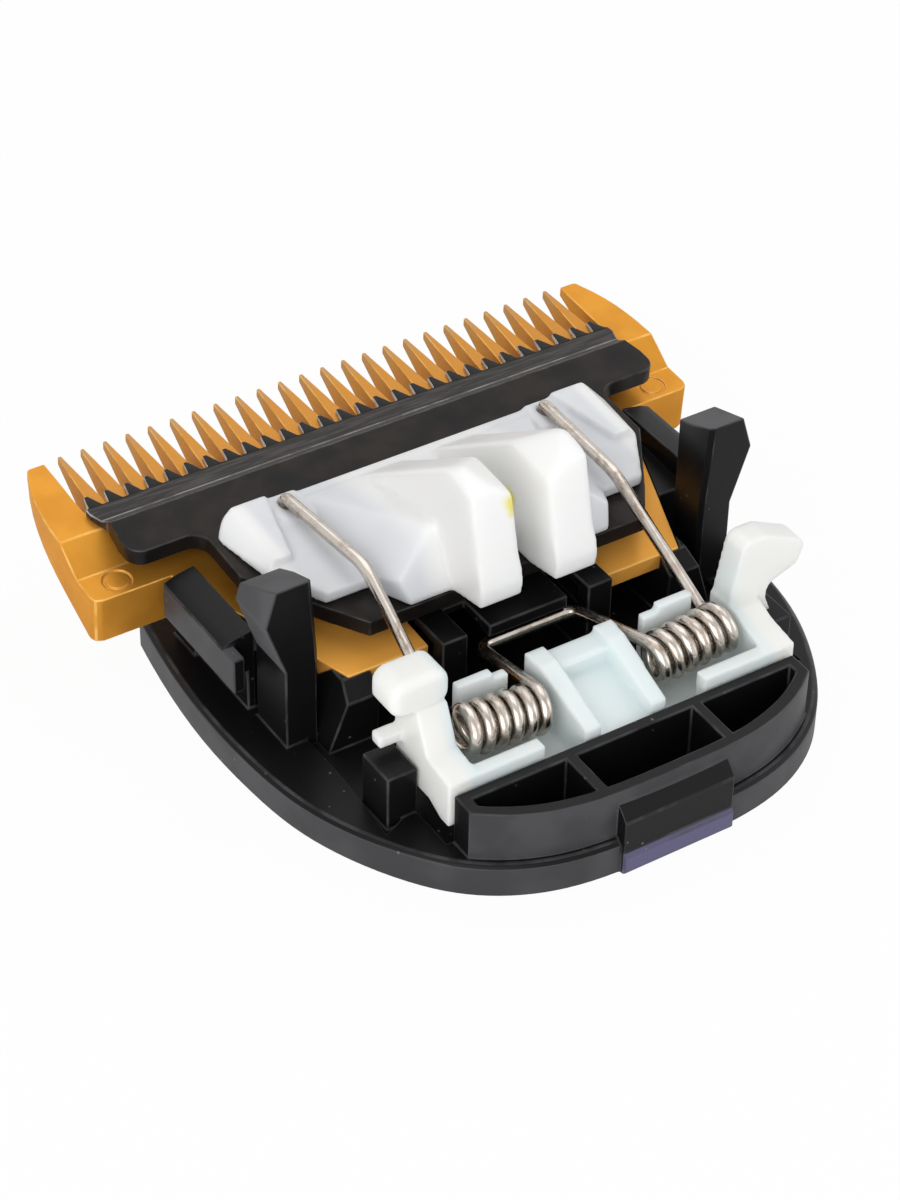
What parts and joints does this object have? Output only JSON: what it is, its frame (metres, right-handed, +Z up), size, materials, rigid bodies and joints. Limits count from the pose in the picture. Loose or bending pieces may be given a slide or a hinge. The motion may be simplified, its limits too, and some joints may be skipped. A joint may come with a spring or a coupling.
{
  "type": "hair clipper blade unit",
  "caption": "Clip-on cutting head for a hair clipper: toothed comb, sliding cutter with drive block, torsion spring and fore-and-aft adjuster in a moulded housing.",
  "frame": {"origin": "middle of the plan, on the underside of the housing", "axes": "+X along the row of teeth, +Y to the tooth tips, +Z up out of the housing towards the drive fins"},
  "size_m": [0.0444, 0.0423, 0.0178],
  "materials": {
    "black_plastic": "satin moulded",
    "gold_steel": "satin gold coating on steel",
    "dark_steel": "dark satin coating",
    "white_plastic": "smooth, slightly waxy",
    "spring_wire": "bright drawn wire"
  },
  "bodies": {
    "base": {"housing": "black_plastic", "fixed_blade": "gold_steel"},
    "slide": {"adjuster": "white_plastic", "torsion_spring": "spring_wire"},
    "cutter": {"moving_blade": "dark_steel", "drive_block": "white_plastic"}
  },
  "joints": [
    {"name": "length_adjust", "type": "slide", "parent": "base", "child": "slide", "axis": [0, 0.9976, 0.0698], "range_m": [0, 0.002]},
    {"name": "cutting_stroke", "type": "slide", "parent": "slide", "child": "cutter", "axis": [1, 0, 0], "range_m": [-0.001, 0.001], "deforming": ["torsion_spring"]}
  ]
}
